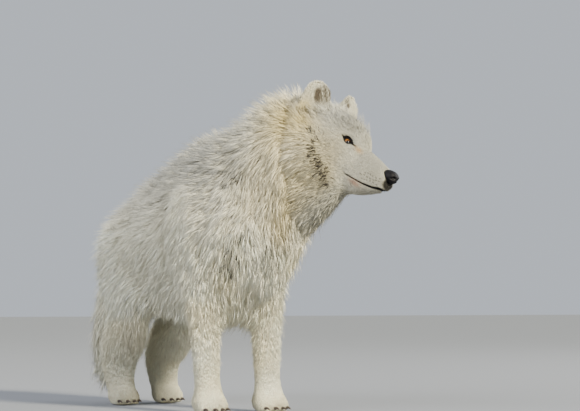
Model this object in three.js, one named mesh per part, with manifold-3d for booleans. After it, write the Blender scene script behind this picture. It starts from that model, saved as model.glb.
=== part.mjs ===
// An arctic wolf in full winter coat, standing still, as a life-size museum model.
// Millimetres, +Z up, facing -Y with the head turned to its own left (+X).
// Every solid reaches to the tips of the coat, so the skin under the fur lies inside it.
import * as THREE from "three";
import { mergeVertices } from "three/addons/utils/BufferGeometryUtils.js";
import Module from "manifold-3d";

const wasm = await Module();
wasm.setup();

// ---- driving sizes ----
const GAP = 0.3; // between two pieces that meet
const WITHERS = 652; // top of the hackles over the shoulders
const BRISKET = 190; // lowest fur of the chest
const FORE_STANCE = 148; // between the two fore feet
const HIND_STANCE = 134;
const FORE_FOOT_Y = { right: -226, left: -245 };
const HIND_FOOT_Y = { right: 212, left: 236 };
const FORE_PAW = [80, 100]; // width and length
const HIND_PAW = [76, 96];
const CLAW_DROP = 22; // degrees, tip down
const CLAW_HEIGHT = 12;
const TAIL_BASE = [0, 306, 424];

const HEAD_TURN = 21; // degrees to the wolf's left
const HEAD_NOD = 18.8; // degrees, nose down
const HEAD_TILT = 11; // degrees, right ear up
const NOSE_TIP = [199, -591, 531];

const MOUTH_LEVEL = -43; // below the nose tip, in the head's frame
const MOUTH_CORNER = 102; // behind the nose tip
const NOSE_PAD_AT = [0, 16, -9];
const EYE_RADIUS = 11;
const EYE_AT = [40, 132, 35]; // left eye, in the head's frame
const EAR_AT = [55, 260, 50];
const EAR_HEIGHT = 90;
const EAR_WIDTH = 86;
const EAR_LEAN = -1; // degrees outwards
const EAR_NOD = 20; // degrees forwards
const EAR_TURN = { right: 28, left: 6 }; // degrees the opening faces outwards
const EAR_FUR = 9; // on the middle of its back

// ---- materials ----
const paint = (name, color, roughness) =>
  Object.assign(new THREE.MeshStandardMaterial({ color, roughness, metalness: 0 }), { name });
const coat = paint("coat", 0xe6e0d0, 0.85);
const noseLeather = paint("nose_leather", 0x15141a, 0.45);
const eyeGlass = paint("eye_glass", 0x5a3412, 0.1);
const clawHorn = paint("claw_horn", 0x2b2622, 0.4);

// ---- from geometry to solid and back ----
function solidOf(geometry) {
  const bare = new THREE.BufferGeometry();
  bare.setAttribute("position", geometry.getAttribute("position"));
  bare.setIndex(geometry.getIndex());
  const merged = mergeVertices(bare, 1e-3);
  const triVerts = new Uint32Array(merged.getIndex().array);
  const vertProperties = merged.getAttribute("position").array;
  const make = () => new wasm.Manifold(new wasm.Mesh({ numProp: 3, vertProperties, triVerts }));
  const solid = make();
  if (solid.volume() > 0) return solid;
  triVerts.reverse();
  return make();
}

// The largest body of a solid: a cut can leave slivers beside it.
const largest = (solid) => solid.decompose().sort((a, b) => b.volume() - a.volume())[0];

function meshOf(name, solid, material, pivot) {
  const cut = largest(solid).getMesh();
  const points = new Float32Array(cut.numVert * 3);
  for (let i = 0; i < cut.numVert; i++) {
    points.set(cut.vertProperties.subarray(i * cut.numProp, i * cut.numProp + 3), i * 3);
  }
  const geometry = new THREE.BufferGeometry();
  geometry.setAttribute("position", new THREE.BufferAttribute(points, 3));
  geometry.setIndex(new THREE.BufferAttribute(cut.triVerts, 1));
  geometry.translate(-pivot[0], -pivot[1], -pivot[2]);
  geometry.computeVertexNormals();
  const mesh = new THREE.Mesh(geometry, material);
  mesh.name = name;
  mesh.position.set(...pivot);
  return mesh;
}

// ---- surfaces ----
// Closes a stack of rings of equal length with a pole at each end.
function stitch(rings, firstPole, lastPole) {
  const n = rings[0].length;
  const first = rings.length * n;
  const index = [];
  for (let j = 0; j < n; j++) {
    const k = (j + 1) % n;
    for (let i = 0; i + 1 < rings.length; i++) {
      const [a, b, c, d] = [i * n + j, i * n + k, (i + 1) * n + j, (i + 1) * n + k];
      index.push(a, b, d, a, d, c);
    }
    const top = first - n;
    index.push(first, k, j, first + 1, top + j, top + k);
  }
  const geometry = new THREE.BufferGeometry().setFromPoints([...rings.flat(), firstPole, lastPole]);
  geometry.setIndex(index);
  return geometry;
}

// A rounded body through oval sections. A station is { at: [x, y, z], side, up, down, narrow,
// keel, square }: half-widths sideways and to either side of the centre line; narrow draws
// the section in towards its up side and keel towards its down side, and square fills its
// corners. across is the body's sideways direction, blunt the roundness of its ends, and
// grow a skin added all round.
function loft(stations, { across = [1, 0, 0], around = 24, steps = 1, grow = 0, blunt = 0.6 } = {}) {
  const curve = (f) => new THREE.CatmullRomCurve3(stations.map((s) => new THREE.Vector3(...f(s))));
  const centre = curve((s) => s.at);
  const halves = curve((s) => [s.side, s.up, s.down]);
  const shape = curve((s) => [s.narrow ?? 0, s.keel ?? 0, s.square ?? 0]);
  const hint = new THREE.Vector3(...across);
  const ring = (t, scale, shift) => {
    const along = centre.getTangent(t);
    const sideways = hint.clone().addScaledVector(along, -hint.dot(along)).normalize();
    const upward = new THREE.Vector3().crossVectors(along, sideways);
    const middle = centre.getPoint(t).addScaledVector(along, shift);
    const { x: side, y: up, z: down } = halves.getPoint(t);
    const { x: narrow, y: keel, z: square } = shape.getPoint(t);
    return Array.from({ length: around }, (_, j) => {
      const angle = (2 * Math.PI * j) / around;
      const [c, s] = [Math.cos(angle), Math.sin(angle)];
      const reach = scale * (1 + square * (2 * c * s) ** 2);
      const half = (side + grow) * (1 - (s > 0 ? narrow : -keel) * s);
      const rise = (s > 0 ? up : down) + grow;
      return middle
        .clone()
        .addScaledVector(sideways, half * c * reach)
        .addScaledVector(upward, rise * s * reach);
    });
  };
  const bulge = (t) => {
    const { x, y, z } = halves.getPoint(t);
    return blunt * Math.min(x, (y + z) / 2) + grow;
  };
  const total = (stations.length - 1) * steps;
  const turns = [60, 30].map(THREE.MathUtils.degToRad);
  const rings = turns.map((turn) => ring(0, Math.cos(turn), -bulge(0) * Math.sin(turn)));
  for (let i = 0; i <= total; i++) rings.push(ring(i / total, 1, 0));
  for (const turn of turns.reverse()) rings.push(ring(1, Math.cos(turn), bulge(1) * Math.sin(turn)));
  const pole = (t, shift) => centre.getPoint(t).addScaledVector(centre.getTangent(t), shift);
  return stitch(rings, pole(0, -bulge(0)), pole(1, bulge(1)));
}

const blob = (centre, radii, around = 12, rows = 8) =>
  new THREE.SphereGeometry(1, around, rows).scale(...radii).translate(...centre);

// ---- trunk: back line and belly line, from the rump to the breast ----
const trunkSections = [
  // [y, top, bottom, half-width, narrow, keel, x]
  [324, 468, 326, 72, 0.1, 0.1, 0],
  [276, 502, 288, 104, 0.2, 0.1, 0],
  [205, 530, 244, 124, 0.26, 0.15, 0],
  [110, 560, 216, 134, 0.28, 0.15, 0],
  [0, 600, 198, 143, 0.3, 0.15, 0],
  [-110, 638, BRISKET, 150, 0.32, 0.2, 0],
  [-205, WITHERS, BRISKET, 152, 0.34, 0.2, 0],
  [-290, 620, 208, 138, 0.2, 0.2, 8],
  [-352, 540, 254, 110, 0.05, 0.1, 24],
];
const trunkStations = trunkSections.map(([y, top, bottom, side, narrow, keel, x]) => {
  const half = (top - bottom) / 2;
  return { at: [x, y, bottom + half], side, up: half, down: half, narrow, keel };
});
const trunk = (grow = 0) => solidOf(loft(trunkStations, { grow, blunt: 0.45 }));

// ---- neck and its ruff ----
const neckStations = [
  { at: [0, -190, 470], side: 134, up: 150, down: 196, narrow: 0.2 },
  { at: [28, -268, 528], side: 134, up: 134, down: 200, narrow: 0.18 },
  { at: [60, -330, 580], side: 126, up: 128, down: 190, narrow: 0.14 },
  { at: [102, -390, 630], side: 114, up: 126, down: 168, narrow: 0.1 },
];
const neck = (grow = 0) =>
  solidOf(loft(neckStations, { across: [1, 0.45, 0], steps: 2, grow, blunt: 0.3 }));

// ---- head, in its own frame: +Y runs back from the nose tip, +X left, +Z up ----
const headPose = new THREE.Matrix4().compose(
  new THREE.Vector3(...NOSE_TIP),
  new THREE.Quaternion().setFromEuler(
    new THREE.Euler(
      THREE.MathUtils.degToRad(HEAD_NOD),
      THREE.MathUtils.degToRad(HEAD_TILT),
      THREE.MathUtils.degToRad(HEAD_TURN),
      "ZXY",
    ),
  ),
  new THREE.Vector3(1, 1, 1),
);
const inHead = (geometry) => geometry.clone().applyMatrix4(headPose);
const headPoint = (x, y, z) => new THREE.Vector3(x, y, z).applyMatrix4(headPose).toArray();
const headDirection = (x, y, z) => new THREE.Vector3(x, y, z).transformDirection(headPose).toArray();

const headSections = [
  // [back from the nose tip, top, bottom, half-width, narrow, keel, square]
  [246, 92, -118, 120, 0.32, -0.1, 0],
  [211, 101, -114, 118, 0.36, -0.12, 0],
  [182, 100, -106, 106, 0.38, -0.1, 0.02],
  [155, 86, -98, 84, 0.42, -0.04, 0.04],
  [134, 68, -91, 63, 0.44, 0.04, 0.03],
  [116, 45, -84, 49, 0.42, 0.1, 0],
  [98, 31, -79, 40, 0.34, 0.1, 0.02],
  [78, 28, -72, 36, 0.2, 0.12, 0.08],
  [54, 18, -63, 32, 0.16, 0.14, 0.1],
  [32, 8, -53, 29, 0.08, 0.16, 0.12],
  [14, -4, -42, 24, 0, 0.14, 0.1],
];
const BROW = { at: [24, 150, 54], radii: [18, 18, 12] };
const NAPE = { at: [0, 280, 30], radii: [94, 58, 78] };
const EAR_RUFF = { at: [72, 282, 78], radii: [22, 22, 26] }; // the fur behind each ear
const headStations = headSections.map(([back, top, bottom, side, narrow, keel, square]) => {
  const half = (top - bottom) / 2;
  return { at: [0, back, bottom + half], side, up: half, down: half, narrow, keel, square };
});
function head(grow = 0) {
  let solid = solidOf(inHead(loft(headStations, { around: 26, grow, blunt: 0.28 })));
  const nape = blob(NAPE.at, NAPE.radii.map((radius) => radius + grow), 16, 10);
  solid = solid.add(solidOf(inHead(nape)));
  for (const { at, radii } of [BROW, EAR_RUFF]) {
    for (const sign of [-1, 1]) {
      const mound = blob([sign * at[0], at[1], at[2]], radii.map((radius) => radius + grow), 10, 6);
      solid = solid.add(solidOf(inHead(mound)));
    }
  }
  return solid;
}
const nosePad = (grow = 0) =>
  solidOf(inHead(blob(NOSE_PAD_AT, [17.5, 17, 17].map((radius) => radius + grow), 12, 8)));
const eyeball = (sign, grow = 0) =>
  solidOf(inHead(blob([sign * EYE_AT[0], EYE_AT[1], EYE_AT[2]], Array(3).fill(EYE_RADIUS + grow), 12, 7)));

// The hollow between the lids, which lays the eyeball bare.
const eyeHollow = (sign) =>
  solidOf(inHead(blob([sign * (EYE_AT[0] + 13), EYE_AT[1] - 5, EYE_AT[2]], [15, 15, 10], 12, 8)));

// The space of the lower jaw: below the mouth and in front of its corners.
function jawSpace(grow = 0) {
  const depth = 90;
  const box = new THREE.BoxGeometry(120, MOUTH_CORNER + 60 + grow, depth + grow);
  box.translate(0, (MOUTH_CORNER - 60 + grow) / 2, MOUTH_LEVEL - (depth - grow) / 2);
  return solidOf(inHead(box));
}

// ---- ears: a cupped leaf that opens forwards, thick at its root ----
function ear(sign, side) {
  const rows = 8;
  const columns = 6;
  const rings = [];
  for (let i = 0; i < rows; i++) {
    const v = 1 - (1 - i / rows) ** 1.7;
    const half = (EAR_WIDTH / 2) * Math.sqrt(1 - v ** 6);
    const curl = THREE.MathUtils.degToRad(86 - 30 * v);
    const radius = half / Math.sin(curl);
    const wall = 13 - 5 * v + 30 * Math.max(0, 0.3 - v);
    const fur = EAR_FUR * (1 - v ** 3);
    const point = (r, u, behind = 0) => {
      const back = radius - r * Math.cos(u * curl) - 14 * v * v - behind;
      return new THREE.Vector3(r * Math.sin(u * curl), back, v * EAR_HEIGHT);
    };
    const outer = [];
    const inner = [];
    for (let j = 0; j <= columns; j++) {
      const u = (2 * j) / columns - 1;
      outer.push(point(radius, u, fur * (1 - u * u)));
      inner.unshift(point(radius - wall * (1 - 0.5 * u * u), u * 0.9));
    }
    rings.push([...outer, ...inner]);
  }
  const root = rings[0].reduce((sum, p) => sum.add(p), new THREE.Vector3()).divideScalar(rings[0].length);
  const leaf = stitch(rings, root, new THREE.Vector3(0, -10, EAR_HEIGHT));
  const turn = new THREE.Euler(
    THREE.MathUtils.degToRad(-EAR_NOD),
    THREE.MathUtils.degToRad(sign * EAR_LEAN),
    THREE.MathUtils.degToRad(180 + sign * EAR_TURN[side]),
    "YZX",
  );
  leaf.applyMatrix4(new THREE.Matrix4().makeRotationFromEuler(turn));
  return leaf.translate(sign * EAR_AT[0], EAR_AT[1], EAR_AT[2]);
}

// ---- legs: stations run from the body down to the foot; up is forwards ----
const foreStations = (sign, y) => [
  { at: [sign * 84, -182, 505], side: 56, up: 62, down: 66 },
  { at: [sign * 92, -190, 430], side: 68, up: 92, down: 90 },
  { at: [sign * 92, -196, 345], side: 60, up: 76, down: 80 },
  { at: [sign * 84, y * 0.6 - 80, 270], side: 49, up: 50, down: 56 },
  { at: [sign * 76, y * 0.9 - 16, 190], side: 41, up: 38, down: 42 },
  { at: [sign * 75, y + 4, 120], side: 37, up: 34, down: 38 },
  { at: [sign * (FORE_STANCE / 2), y + 2, 70], side: 34, up: 34, down: 35 },
  { at: [sign * (FORE_STANCE / 2), y - 4, 36], side: 34, up: 36, down: 32 },
];
const hindStations = (sign, y) => [
  { at: [sign * 76, y - 12, 412], side: 60, up: 92, down: 80 },
  { at: [sign * 80, y - 36, 348], side: 60, up: 100, down: 128 },
  { at: [sign * 80, y - 62, 272], side: 56, up: 94, down: 112 },
  { at: [sign * 75, y - 44, 208], side: 51, up: 88, down: 84 },
  { at: [sign * 70, y + 6, 160], side: 48, up: 90, down: 62 },
  { at: [sign * 67, y + 34, 126], side: 45, up: 86, down: 46 },
  { at: [sign * 67, y + 30, 84], side: 41, up: 74, down: 42 },
  { at: [sign * (HIND_STANCE / 2), y + 10, 44], side: 35, up: 46, down: 33 },
];

// Where the four toes of a paw stand.
function toePlaces([x, y], [width, length]) {
  return [-1.5, -0.5, 0.5, 1.5].map((place) => {
    const bow = (place / 1.5) ** 2;
    return [x + place * width * 0.235, y - length * (0.3 - 0.13 * bow)];
  });
}

// A paw: the furred foot with its toes.
function paw(at, size, grow = 0) {
  const [width, length] = size;
  const pad = [width / 2, length / 2, 34].map((radius) => radius + grow);
  const toe = [width * 0.16, length * 0.24, 20].map((radius) => radius + grow);
  return toePlaces(at, size).reduce(
    (solid, [x, y]) => solid.add(solidOf(blob([x, y, 18], toe, 6, 4))),
    solidOf(blob([...at, 26], pad, 10, 6)),
  );
}

// A claw that points forwards and down from the front of its toe.
function claw([x, y], length) {
  const cone = new THREE.ConeGeometry(4, 28, 7);
  cone.rotateX(THREE.MathUtils.degToRad(180 + CLAW_DROP));
  return solidOf(cone.translate(x, y - length * 0.24 + 1, CLAW_HEIGHT));
}

// ---- tail: stations run from the base to the tip; up is forwards ----
const tailStations = [
  { at: TAIL_BASE, side: 38, up: 38, down: 38 },
  { at: [0, 338, 376], side: 42, up: 42, down: 42 },
  { at: [-4, 366, 308], side: 52, up: 48, down: 50 },
  { at: [-10, 380, 228], side: 57, up: 50, down: 54 },
  { at: [-18, 388, 145], side: 52, up: 46, down: 50 },
  { at: [-24, 390, 72], side: 32, up: 28, down: 30 },
];

// ---- parting the body ----
const slab = (bottom, top) => {
  const box = new THREE.BoxGeometry(3000, 3000, top - bottom);
  return solidOf(box.translate(0, 0, (top + bottom) / 2));
};
const underFloor = slab(-1000, 0);

// All that lies ahead of a plane through a point.
function aheadOf(point, direction, shift = 0) {
  const size = 2000;
  const ahead = new THREE.Vector3(...direction).normalize();
  const box = new THREE.BoxGeometry(size, size, size).translate(0, 0, size / 2 + shift);
  box.applyQuaternion(new THREE.Quaternion().setFromUnitVectors(new THREE.Vector3(0, 0, 1), ahead));
  return solidOf(box.translate(...point));
}

const wolf = new THREE.Group();
wolf.name = "arctic_wolf";
const addPiece = (name, solid, material, pivot) => wolf.add(meshOf(name, solid, material, pivot));

// Parts a leg at two heights, and sets a claw on each toe.
function addLeg({ leg, foot, side, solid, at, size, cuts, pivots }) {
  const [high, low] = cuts;
  const sole = paw(at, size).subtract(underFloor).subtract(slab(low, 1000));
  const parts = [
    [`${leg}_upper_${side}`, solid.subtract(slab(-1000, high))],
    [`${leg}_lower_${side}`, solid.intersect(slab(low + GAP, high - GAP))],
    [`${foot}_${side}`, solid.intersect(slab(0, low)).add(sole)],
  ];
  parts.forEach(([name, part], i) => addPiece(name, part, coat, pivots[i]));
  const pawRoom = paw(at, size, GAP).add(solid);
  toePlaces(at, size).forEach((toe, i) => {
    const tip = claw(toe, size[1]).subtract(pawRoom);
    addPiece(`${foot}_claw_${side}_${i + 1}`, tip, clawHorn, [...toe, CLAW_HEIGHT]);
  });
}

const legOptions = { around: 12, blunt: 0.4 };
let legRoom = null; // every leg, grown by the gap
for (const [side, sign] of [["right", -1], ["left", 1]]) {
  const foreAt = [(sign * FORE_STANCE) / 2, FORE_FOOT_Y[side] - 4];
  const hindAt = [(sign * HIND_STANCE) / 2, HIND_FOOT_Y[side]];
  const fore = foreStations(sign, FORE_FOOT_Y[side]);
  const hind = hindStations(sign, HIND_FOOT_Y[side]);
  addLeg({
    leg: "foreleg",
    foot: "forepaw",
    side,
    solid: solidOf(loft(fore, legOptions)),
    at: foreAt,
    size: FORE_PAW,
    cuts: [276, 58],
    pivots: [fore[2].at, fore[5].at, [...foreAt, 0]],
  });
  addLeg({
    leg: "hindleg",
    foot: "hindpaw",
    side,
    solid: solidOf(loft(hind, legOptions)),
    at: hindAt,
    size: HIND_PAW,
    cuts: [232, 58],
    pivots: [hind[1].at, hind[4].at, [...hindAt, 0]],
  });
  for (const stations of [fore, hind]) {
    const grown = solidOf(loft(stations, { ...legOptions, grow: GAP }));
    legRoom = legRoom ? legRoom.add(grown) : grown;
  }
}

// The neck begins at the shoulders, and the head behind its ears and jaw.
const shoulderCut = [[0, -206, 652], [0.25, -0.7, 0.56]];
const napeCut = [headPoint(0, 262, 96), headDirection(0, -0.94, 0.34)];
const body = trunk().add(neck()).add(head()).subtract(legRoom);
const bodyRoom = neck(GAP).add(head(GAP));
const front = body.intersect(aheadOf(...shoulderCut));
const headWhole = front.intersect(aheadOf(...napeCut));
addPiece("trunk", body.subtract(aheadOf(...shoulderCut, -GAP)), coat, [0, 0, 430]);
addPiece("neck", front.subtract(aheadOf(...napeCut, -GAP)), coat, neckStations[1].at);
const tail = solidOf(loft(tailStations, { around: 12 })).subtract(trunk(GAP).add(legRoom));
addPiece("tail", tail, coat, TAIL_BASE);

addPiece("nose", nosePad(), noseLeather, headPoint(...NOSE_PAD_AT));
let face = headWhole.subtract(nosePad(GAP));
for (const [side, sign] of [["right", -1], ["left", 1]]) {
  face = face.subtract(eyeball(sign, GAP)).subtract(eyeHollow(sign));
  addPiece(`eye_${side}`, eyeball(sign), eyeGlass, headPoint(sign * EYE_AT[0], EYE_AT[1], EYE_AT[2]));
}
addPiece("lower_jaw", face.intersect(jawSpace()), coat, headPoint(0, MOUTH_CORNER, MOUTH_LEVEL));
addPiece("head", face.subtract(jawSpace(GAP)), coat, headPoint(0, 240, 0));
for (const [side, sign] of [["right", -1], ["left", 1]]) {
  const shell = solidOf(inHead(ear(sign, side))).subtract(bodyRoom);
  addPiece(`ear_${side}`, shell, coat, headPoint(sign * EAR_AT[0], EAR_AT[1], EAR_AT[2]));
}

// The middle of the bounding box stands over the origin.
wolf.updateMatrixWorld(true);
const middle = new THREE.Box3().setFromObject(wolf, true).getCenter(new THREE.Vector3());
wolf.position.set(-middle.x, -middle.y, 0);

export default wolf;
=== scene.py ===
import math

import bmesh
import bpy
import numpy as np
from mathutils import Matrix, Vector
from mathutils.bvhtree import BVHTree
from mathutils.kdtree import KDTree


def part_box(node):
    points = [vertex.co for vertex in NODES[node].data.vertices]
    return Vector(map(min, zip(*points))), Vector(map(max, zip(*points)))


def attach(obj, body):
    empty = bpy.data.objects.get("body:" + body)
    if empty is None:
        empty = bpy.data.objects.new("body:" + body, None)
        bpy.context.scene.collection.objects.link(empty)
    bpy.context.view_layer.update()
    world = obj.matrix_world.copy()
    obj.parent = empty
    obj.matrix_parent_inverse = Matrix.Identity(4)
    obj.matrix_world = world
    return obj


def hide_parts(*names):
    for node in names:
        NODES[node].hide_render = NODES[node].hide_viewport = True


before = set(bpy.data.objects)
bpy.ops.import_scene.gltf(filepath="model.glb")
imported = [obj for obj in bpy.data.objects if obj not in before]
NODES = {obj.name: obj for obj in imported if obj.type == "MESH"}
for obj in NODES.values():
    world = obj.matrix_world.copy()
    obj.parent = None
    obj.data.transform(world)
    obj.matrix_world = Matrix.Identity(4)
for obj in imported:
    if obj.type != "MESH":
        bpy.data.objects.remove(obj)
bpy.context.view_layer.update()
rng = np.random.default_rng(11)

# ---- driving sizes, in metres ----
VOXEL = 0.0050
SINK_STEPS = 8  # steps in which the skin sinks from the coat's tips
MAX_DEPTH = 0.26  # the coat's depth, of the body's thickness at that place
EYE_RADIUS = 0.0125
EYE_OUT = 0.0012  # how far an eyeball stands out of the skin
CORNEA = 0.07  # how far its clear front swells, of its radius
LID_HALF = 0.0116  # from the middle of the eye's opening to its corner
LID_UP = 0.0058
LID_DOWN = 0.0050
LID_RIM = 0.0010  # radius of the lids' dark rim
RIM_OUT = 0.0014  # from the eyeball to the rim's middle
LID_THICK = 0.0019
LID_REACH = 0.034  # how far from the eye's middle the lids shape the skin
CLAW_RADIUS = 0.0036
CLAW_POINT = 0.0003
CLAW_ARCH = 0.0022
NOSE_HALF = np.array([0.0182, 0.0182, 0.0146])
NOSE_AT = np.array([0, 0.0172, -0.0090])  # this and the next three are in the head's frame
NOSE_MIDDLE = np.array([0, 0.016, -0.010])
MOUTH_LEVEL = -0.0445
MOUTH_CORNER = 0.112
ON_HEAD = 0.4  # share of the head's group from which a point counts as on the head

# ---- the coat's driving numbers ----
TUFTS = 238000
LOCK_TUFTS = 10  # tufts in a lock
LOCK_SPREAD = {"turn": 0.11, "length": 0.08, "rise": 0.10}  # how locks differ
TUFT_SPREAD = {"turn": 0.14, "length": 0.12, "rise": 0.10}  # how tufts in a lock differ
UNDERCOAT = 0.24  # share of the tufts that are short and broad
GUARD_HAIRS = 0.16  # share of the tufts that are thin and stand out
PARTING_SHADOW_TUFTS = 0.34  # share of the tufts painted dark as shadow where the coat parts
BEND = 0.42  # where along a tuft it's widest
TUFT_SHADE = np.array([0.70, 0.93, 0.93, 0.95, 1.03])  # painted shade, darkest at the root: at a tuft's root, its waist's corners and its tip
SKIN_TONE = 0.92  # the skin's colour, of the coat's
PER_PIECE = 32000  # tufts in one mesh at most
PATCH = 0.003  # a tuft's patch on the UV map

# ---- the head's own frame: +Y runs back from the nose tip, +X left, +Z up ----
HEAD = np.array(
    Matrix.Rotation(math.radians(21), 3, "Z")
    @ Matrix.Rotation(math.radians(18.8), 3, "X")
    @ Matrix.Rotation(math.radians(11), 3, "Y")
)


def middle(name):
    low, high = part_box(name)
    return (np.array(low) + np.array(high)) / 2


EYE_LEVEL = np.array([0, 0.132, 0.035])
NOSE_TIP = (middle("eye_left") + middle("eye_right")) / 2 - HEAD @ EYE_LEVEL
ORIGIN = NOSE_TIP - np.array([0.199, -0.591, 0.531])  # under the withers


def to_head(points):
    return (points - NOSE_TIP) @ HEAD


def from_head(points):
    return np.asarray(points) @ HEAD.T + NOSE_TIP


# ---- small tools ----
def unit(v):
    return v / np.maximum(np.linalg.norm(v, axis=-1, keepdims=True), 1e-9)


def step(x, low, high):
    t = np.clip((x - low) / (high - low), 0, 1)
    return t * t * (3 - 2 * t)


def bell(x, width):
    return np.exp(-((x / width) ** 2))


def one_side(points):
    """The points with those on the right laid on the left."""
    return points * np.where(points[:, :1] < 0, (-1, 1, 1), (1, 1, 1))


def waves(points, scale, seed, count=14):
    """Smooth noise of about -1 to 1, with features of that size in metres."""
    r = np.random.default_rng(seed)
    spread = r.normal(size=(count, 3))
    way = unit(spread) * (2 * math.pi / scale) * r.uniform(0.6, 1.5, (count, 1))
    phase = r.uniform(0, 2 * math.pi, count)
    return np.sin(points @ way.T + phase).sum(1) / math.sqrt(count)


def numbers(data, name, size, kind=np.float32):
    """One of the values of a mesh's points, loops or triangles, a row for each."""
    values = np.empty(len(data) * size, kind)
    data.foreach_get(name, values)
    return values.reshape(-1, size)


def triangles(mesh, name="vertices"):
    mesh.calc_loop_triangles()
    return numbers(mesh.loop_triangles, name, 3, np.int32)


def make_mesh(name, verts, quads=None, tris=None, smooth=True):
    quads = np.zeros((0, 4), int) if quads is None else np.asarray(quads)
    tris = np.zeros((0, 3), int) if tris is None else np.asarray(tris)
    mesh = bpy.data.meshes.new(name)
    mesh.vertices.add(len(verts))
    mesh.vertices.foreach_set("co", np.asarray(verts, np.float32).ravel())
    mesh.loops.add(len(quads) * 4 + len(tris) * 3)
    corners = np.concatenate([quads.ravel(), tris.ravel()])
    mesh.loops.foreach_set("vertex_index", corners.astype(np.int32))
    mesh.polygons.add(len(quads) + len(tris))
    sizes = np.concatenate([np.full(len(quads), 4), np.full(len(tris), 3)])
    starts = np.concatenate([[0], np.cumsum(sizes)[:-1]]).astype(np.int32)
    mesh.polygons.foreach_set("loop_start", starts)
    mesh.update(calc_edges=True)
    if smooth:
        mesh.polygons.foreach_set("use_smooth", np.ones(len(sizes), bool))
    return mesh


def make_object(name, mesh, material, slot, *replaced):
    obj = bpy.data.objects.new(name, mesh)
    bpy.context.scene.collection.objects.link(obj)
    obj.data.materials.append(material)
    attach(obj, "root")
    if replaced:
        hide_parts(*replaced)
    return obj


def set_colors(mesh, colors):
    layer = mesh.color_attributes.new(name="coat_color", type="FLOAT_COLOR", domain="POINT")
    rgba = np.ones((len(colors), 4), np.float32)
    rgba[:, :3] = colors
    layer.data.foreach_set("color", rgba.ravel())


def srgb(*values):
    c = np.array(values) / 255
    return np.where(c <= 0.04045, c / 12.92, ((c + 0.055) / 1.055) ** 2.4)


def ring_faces(rings, around):
    """Quads between rings of points, and triangles from the end rings to two points after them."""
    i, j = np.meshgrid(np.arange(rings - 1), np.arange(around), indexing="ij")
    k = (j + 1) % around
    here, there = i * around, (i + 1) * around
    quads = np.stack([here + j, there + j, there + k, here + k], -1).reshape(-1, 4)
    a = np.arange(around)
    b = (a + 1) % around
    last, end = (rings - 1) * around, rings * around
    return quads, np.vstack([
        np.stack([np.full(around, end), a, b], -1),
        np.stack([np.full(around, end + 1), last + b, last + a], -1),
    ])


def tube(path, radii, around=8, up=(0, 0, 1)):
    """A closed tube along a path: (verts, quads, tris)."""
    radii = np.broadcast_to(radii, len(path))
    along = unit(np.gradient(path, axis=0))
    side = unit(np.cross(along, up))
    over = np.cross(side, along)
    angle = np.arange(around) * 2 * math.pi / around
    cos, sin = np.cos(angle)[None, :, None], np.sin(angle)[None, :, None]
    ring = cos * side[:, None] + sin * over[:, None]
    verts = (path[:, None] + ring * radii[:, None, None]).reshape(-1, 3)
    verts = np.vstack([verts, path[0], path[-1]])
    return verts, *ring_faces(len(path), around)


def join_parts(parts):
    verts, quads, tris, base = [], [], [], 0
    for v, q, t in parts:
        verts.append(v)
        quads.append(q + base)
        tris.append(t + base)
        base += len(v)
    return np.vstack(verts), np.vstack(quads), np.vstack(tris)


# ---- the coat's outer surface: the flesh nodes grown together ----
GROUPS = {
    "trunk": ["trunk"],
    "neck": ["neck"],
    "head": ["head", "lower_jaw"],
    "ear": ["ear_right", "ear_left"],
    "tail": ["tail"],
}
for leg in ("fore", "hind"):
    for group, node in (("upper", "leg_upper"), ("lower", "leg_lower"), ("paw", "paw")):
        GROUPS[f"{leg}_{group}"] = [f"{leg}{node}_{side}" for side in ("right", "left")]
GROUP_NAMES = list(GROUPS)
FLESH = [n for names in GROUPS.values() for n in names]

verts, tris, owner, base = [], [], [], 0
for g, names in enumerate(GROUPS.values()):
    for name in names:
        mesh = NODES[name].data
        verts.append(numbers(mesh.vertices, "co", 3).astype(float))
        tris.append(triangles(mesh) + base)
        owner += [g] * len(tris[-1])
        base += len(verts[-1])
verts, tris, owner = np.vstack(verts), np.vstack(tris), np.array(owner)
node_tree = BVHTree.FromPolygons(verts.tolist(), tris.tolist())

hull = bpy.data.objects.new("hull", make_mesh("hull", verts, tris=tris))
bpy.context.scene.collection.objects.link(hull)
remesh = hull.modifiers.new("remesh", "REMESH")
remesh.mode = "VOXEL"
remesh.voxel_size = VOXEL
graph = bpy.context.evaluated_depsgraph_get()
grown = bpy.data.meshes.new_from_object(hull.evaluated_get(graph))
bpy.data.objects.remove(hull)


def group_of(points):
    found = [node_tree.find_nearest(p)[2] for p in points.tolist()]
    return owner[np.array(found)]


class Surface:
    """Points joined by edges, for smoothing values over a mesh."""

    def __init__(self, mesh):
        n = len(mesh.vertices)
        self.points = numbers(mesh.vertices, "co", 3).astype(float)
        self.tris = triangles(mesh)
        edges = numbers(mesh.edges, "vertices", 2, np.int32)
        edges = np.concatenate([edges, edges[:, ::-1]])
        a, b = edges[np.argsort(edges[:, 0], kind="stable")].T
        self.degree = np.bincount(a, minlength=n)
        start = np.concatenate([[0], np.cumsum(self.degree)[:-1]])
        self.near = np.full((n, self.degree.max()), -1)
        self.near[a, np.arange(len(a)) - start[a]] = b
        self.mask = (self.near >= 0)[..., None]
        self.near[self.near < 0] = 0

    def smooth(self, values, times, amount=0.5):
        flat = values.ndim == 1
        values = values[:, None] if flat else values
        amount = np.asarray(amount)
        amount = amount[:, None] if amount.ndim else amount
        for _ in range(times):
            mean = (values[self.near] * self.mask).sum(1) / self.degree[:, None]
            values = values + amount * (mean - values)
        return values[:, 0] if flat else values

    def normals(self, points):
        a, b, c = (points[self.tris[:, i]] for i in range(3))
        face = np.cross(b - a, c - a)
        total = np.zeros_like(points)
        for i in range(3):
            for axis in range(3):
                total[:, axis] += np.bincount(self.tris[:, i], face[:, axis], len(points))
        return unit(total)


surface = Surface(grown)
weights = surface.smooth(np.eye(len(GROUPS))[group_of(surface.points)], 14)


def share(name, table=None):
    """How far each point belongs to a group, from 0 to 1."""
    return (weights if table is None else table)[:, GROUP_NAMES.index(name)]


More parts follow.
